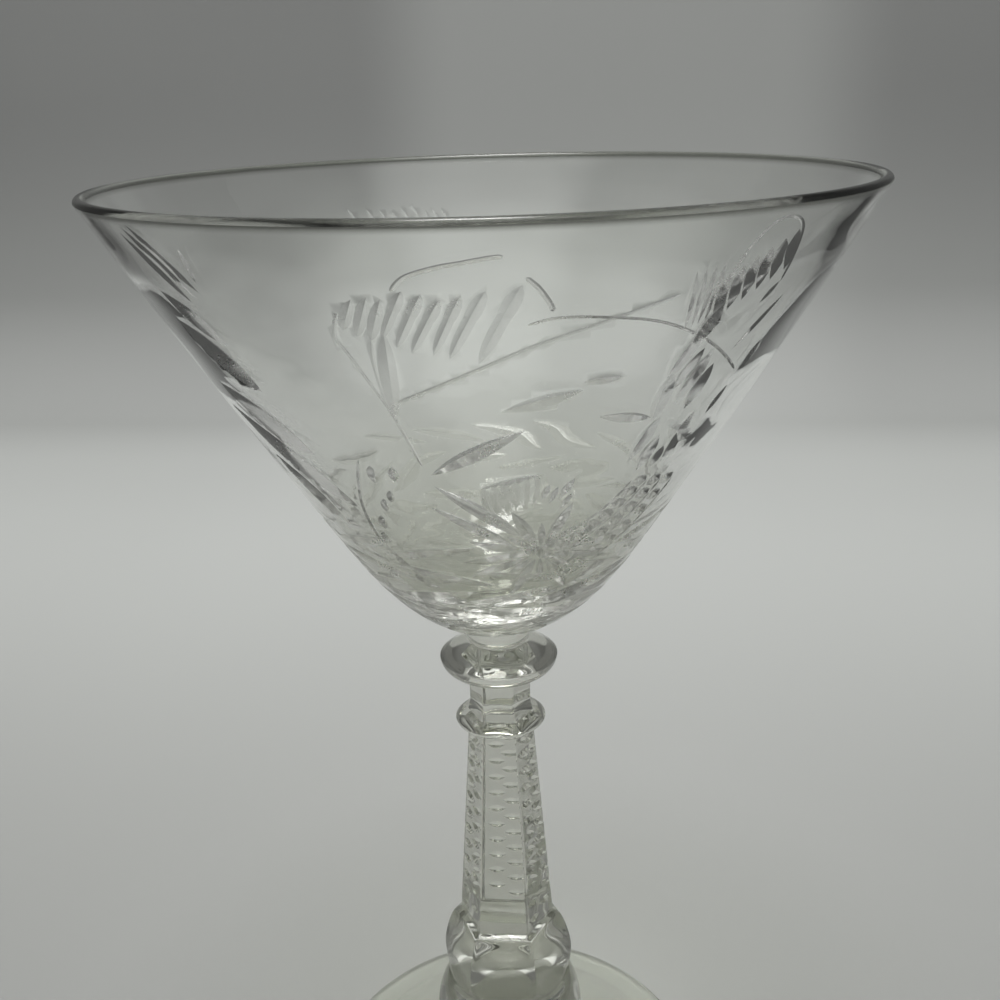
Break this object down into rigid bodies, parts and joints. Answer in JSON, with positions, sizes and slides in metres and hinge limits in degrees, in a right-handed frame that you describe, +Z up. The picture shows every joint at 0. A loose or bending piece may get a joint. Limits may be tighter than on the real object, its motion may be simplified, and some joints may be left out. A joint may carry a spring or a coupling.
{
  "type": "cocktail glass",
  "caption": "Stemmed cocktail glass: a thin conical bowl on a six-sided pressed stem with cross grooves, knops and a disc foot.",
  "frame": {"origin": "middle of the plane that the foot rests on", "axes": "+Z up along the axis of the glass, -Y towards a flat side of the stem, which is the side the picture shows"},
  "size_m": [0.086, 0.086, 0.129],
  "materials": {
    "blown_glass": "fire polished, faintly grey-green",
    "pressed_glass": "pressed and fire polished, faintly grey-green"
  },
  "bodies": {
    "root": {"bowl": "blown_glass", "bowl_merese": "pressed_glass", "collar_knop": "pressed_glass", "pressed_stem": "pressed_glass", "base_knop": "pressed_glass", "foot": "blown_glass"}
  },
  "joints": []
}
